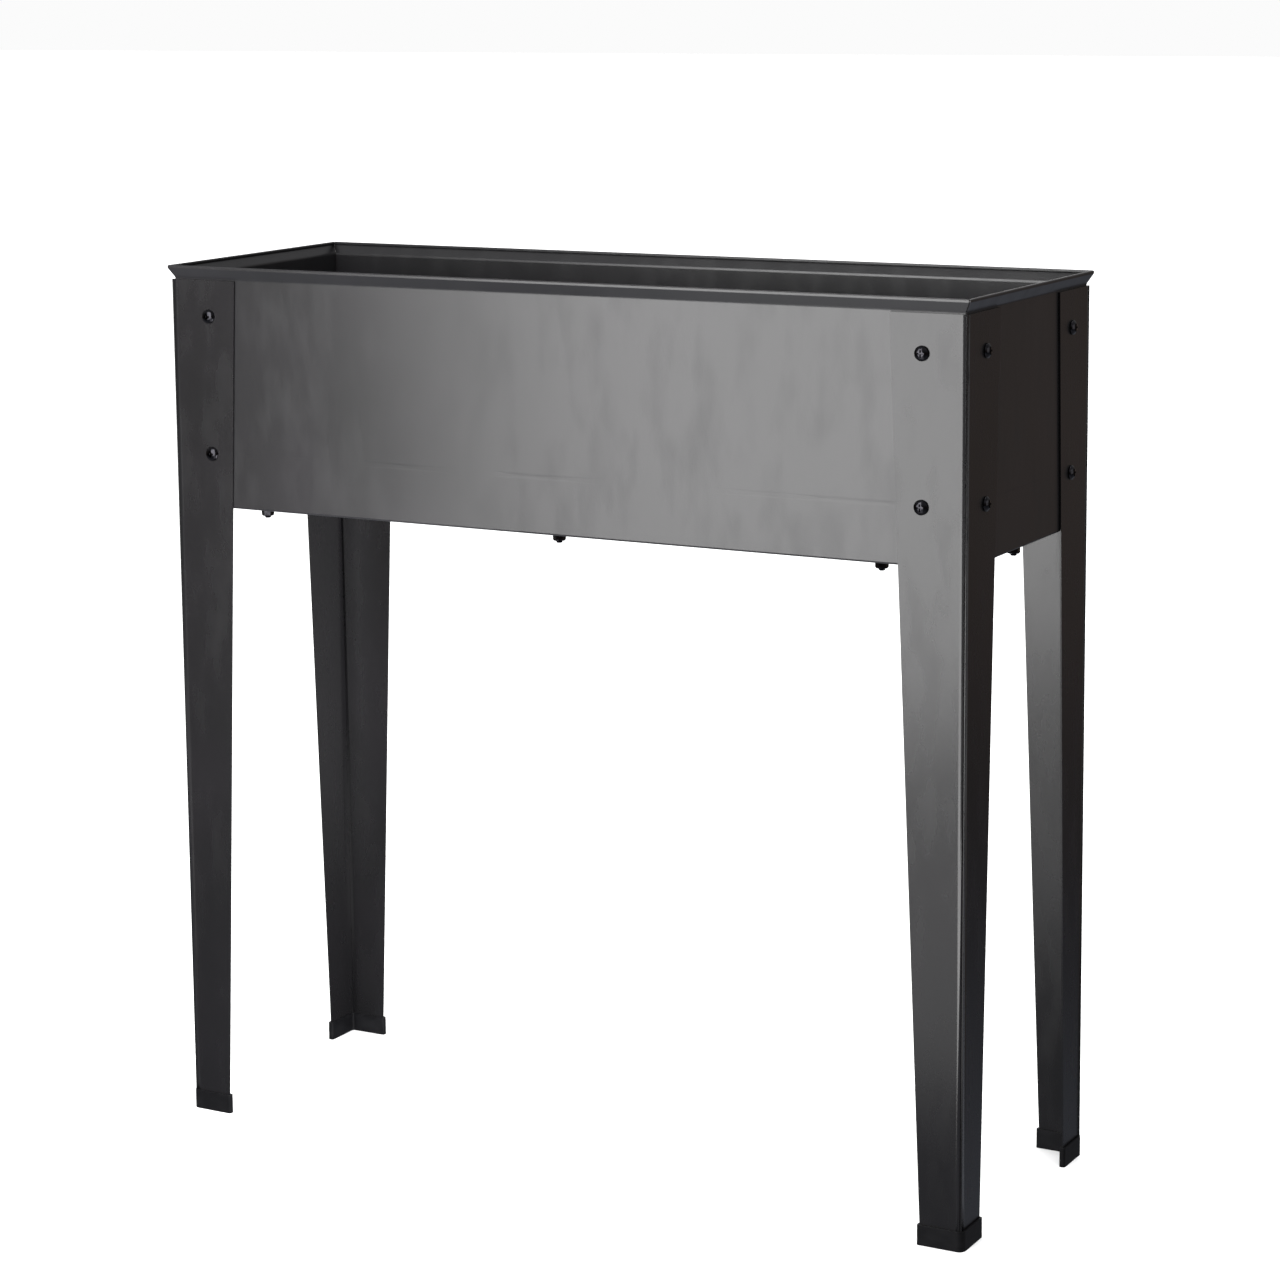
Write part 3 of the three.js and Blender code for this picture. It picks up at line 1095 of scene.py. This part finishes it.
@dataclass
class Studio:
    """The pale floor, the soft lights and the camera."""

    floor_colour: str = "#ececec"
    backdrop: str = "#fbfbfb"
    room: tuple[tuple[float, str], ...] = (  # the room's colour by the sine of the angle up
        (-1.0, "#b4b6bc"),
        (-0.6, "#a0a3aa"),
        (-0.36, "#767a84"),
        (-0.27, "#2c2a2c"),
        (-0.17, "#6c605a"),
        (0.1, "#5e5854"),
        (0.4, "#b0b0b2"),
        (1.0, "#c8c8ca"),
    )
    camera_at: tuple[float, float, float] = (1.4711, -2.6645, 1.0845)
    azimuth: float = 29.571
    elevation: float = 8.962
    roll: float = -0.637
    focal_in_widths: float = 2.6585
    sensor: float = 36.0
    shift: tuple[float, float] = (0.0452, -0.1172)

    def build(self) -> None:
        """Sets up the studio."""
        self.floor()
        self.world()
        self.lights()
        self.camera()

    def floor(self) -> None:
        """A wide pale floor that lights nothing but itself, and is clear from below."""
        mesh = bmesh.new()
        bmesh.ops.create_grid(mesh, x_segments=1, y_segments=1, size=30)
        data = bpy.data.meshes.new("studio_floor")
        mesh.to_mesh(data)
        mesh.free()
        material = bpy.data.materials.new("pale_studio_paper")
        material.use_nodes = True
        tree = material.node_tree
        tree.nodes.clear()
        paper = add_node(tree, "ShaderNodeBsdfDiffuse", {"Color": linear(self.floor_colour)})
        clear = add_node(tree, "ShaderNodeBsdfTransparent")
        back = add_node(tree, "ShaderNodeNewGeometry").outputs["Backfacing"]
        both = add_node(
            tree,
            "ShaderNodeMixShader",
            links={0: back, 1: paper.outputs[0], 2: clear.outputs[0]},
        )
        add_node(tree, "ShaderNodeOutputMaterial", links={"Surface": both.outputs[0]})
        data.materials.append(material)
        floor = bpy.data.objects.new("studio_floor", data)
        floor.visible_glossy = False
        floor.visible_diffuse = False
        floor.visible_shadow = False
        bpy.context.scene.collection.objects.link(floor)
        wash = bpy.data.lights.new("floor_wash", "SUN")
        wash.energy = 4.4
        wash.angle = math.radians(120)
        light = bpy.data.objects.new("floor_wash", wash)
        bpy.context.scene.collection.objects.link(light)
        lit = bpy.data.collections.new("lit_by_floor_wash")
        lit.objects.link(floor)
        light.light_linking.receiver_collection = lit

    def world(self) -> None:
        """The dim room that the object mirrors, with a white backdrop behind it for the camera."""
        world = bpy.data.worlds.new("studio")
        world.use_nodes = True
        tree = world.node_tree
        tree.nodes.clear()
        way = add_node(tree, "ShaderNodeTexCoord").outputs["Generated"]
        rise = add_node(tree, "ShaderNodeSeparateXYZ", links={0: way}).outputs["Z"]
        ramp = add_node(tree, "ShaderNodeValToRGB")
        ramp.color_ramp.elements.remove(ramp.color_ramp.elements[1])
        for (sine, colour), first in zip(self.room, (True, *(False,) * len(self.room))):
            place = (sine + 1) / 2
            stop = ramp.color_ramp.elements[0] if first else ramp.color_ramp.elements.new(place)
            stop.position = place
            stop.color = linear(colour)
        half = add_node(tree, "ShaderNodeMapRange", {"From Min": -1.0, "From Max": 1.0}, {"Value": rise})
        tree.links.new(half.outputs["Result"], ramp.inputs["Fac"])
        dim = add_node(tree, "ShaderNodeBackground", {"Strength": 1.0}, {"Color": ramp.outputs["Color"]})
        pale = add_node(tree, "ShaderNodeBackground", {"Color": linear(self.backdrop), "Strength": 1.0})
        seen = add_node(tree, "ShaderNodeLightPath").outputs["Is Camera Ray"]
        both = add_node(
            tree,
            "ShaderNodeMixShader",
            links={0: seen, 1: dim.outputs[0], 2: pale.outputs[0]},
        )
        add_node(tree, "ShaderNodeOutputWorld", links={"Surface": both.outputs[0]})
        bpy.context.scene.world = world

    def lights(self) -> None:
        """A large key softbox in front, weaker ones around and above, and two small fills.

        The floor bounce lifts the front from below, and the far leg's fill stands under the
        trough and lights the inside of the rear left leg.
        """
        Softbox("key_softbox", (-0.35, -1.3, 1.08), (-0.35, 0.0, 1.08), (1.06, 1.9), 46, 6.0).build()
        Softbox("floor_bounce", (0.05, -0.94, 0.005), (0.05, -0.94, 1.0), (0.8, 0.85), 3).build()
        Softbox("right_softbox", (2.4, 0.55, 0.8), (0.0, 0.2, 0.6), (1.6, 1.4), 8).build()
        Softbox("rear_softbox", (-1.1, 2.4, 0.9), (-0.3, 0.0, 0.6), (1.6, 1.4), 9).build()
        Softbox("top_softbox", (0.0, 0.3, 2.6), (0.0, 0.0, 0.6), (1.6, 1.0), 16).build()
        Softbox("far_leg_fill", (-0.02, -0.12, 0.3), (-0.39, 0.1, 0.3), (0.35, 0.5), 5).build()

    def camera(self) -> None:
        """A long lens at the front right, level with the rim."""
        lens = bpy.data.cameras.new("camera")
        lens.sensor_width = self.sensor
        lens.lens = self.focal_in_widths * self.sensor
        lens.shift_x, lens.shift_y = self.shift
        camera = bpy.data.objects.new("camera", lens)
        azimuth, tilt, roll = (
            math.radians(angle) for angle in (self.azimuth, 90 - self.elevation, self.roll)
        )
        camera.matrix_world = (
            Matrix.Translation(self.camera_at)
            @ Matrix.Rotation(azimuth, 4, "Z")
            @ Matrix.Rotation(tilt, 4, "X")
            @ Matrix.Rotation(roll, 4, "Z")
        )
        bpy.context.scene.collection.objects.link(camera)
        bpy.context.scene.camera = camera


def main() -> None:
    """Builds the planter and its studio."""
    logging.basicConfig(level=logging.INFO, format="%(message)s")
    bpy.context.scene.view_settings.view_transform = "Standard"
    leg = Leg()
    Trough().build(leg)
    corners = (
        Corner("front_left", (-1, -1), Side.FRONT, ("front", "end"), leg),
        Corner("front_right", (1, -1), Side.RIGHT, ("end", "front"), leg),
        Corner("rear_right", (1, 1), Side.REAR, ("rear", "end"), leg),
        Corner("rear_left", (-1, 1), Side.LEFT, ("end", "rear"), leg),
    )
    for corner in corners:
        corner.build()
    Studio().build()


if __name__ == "__main__":
    main()
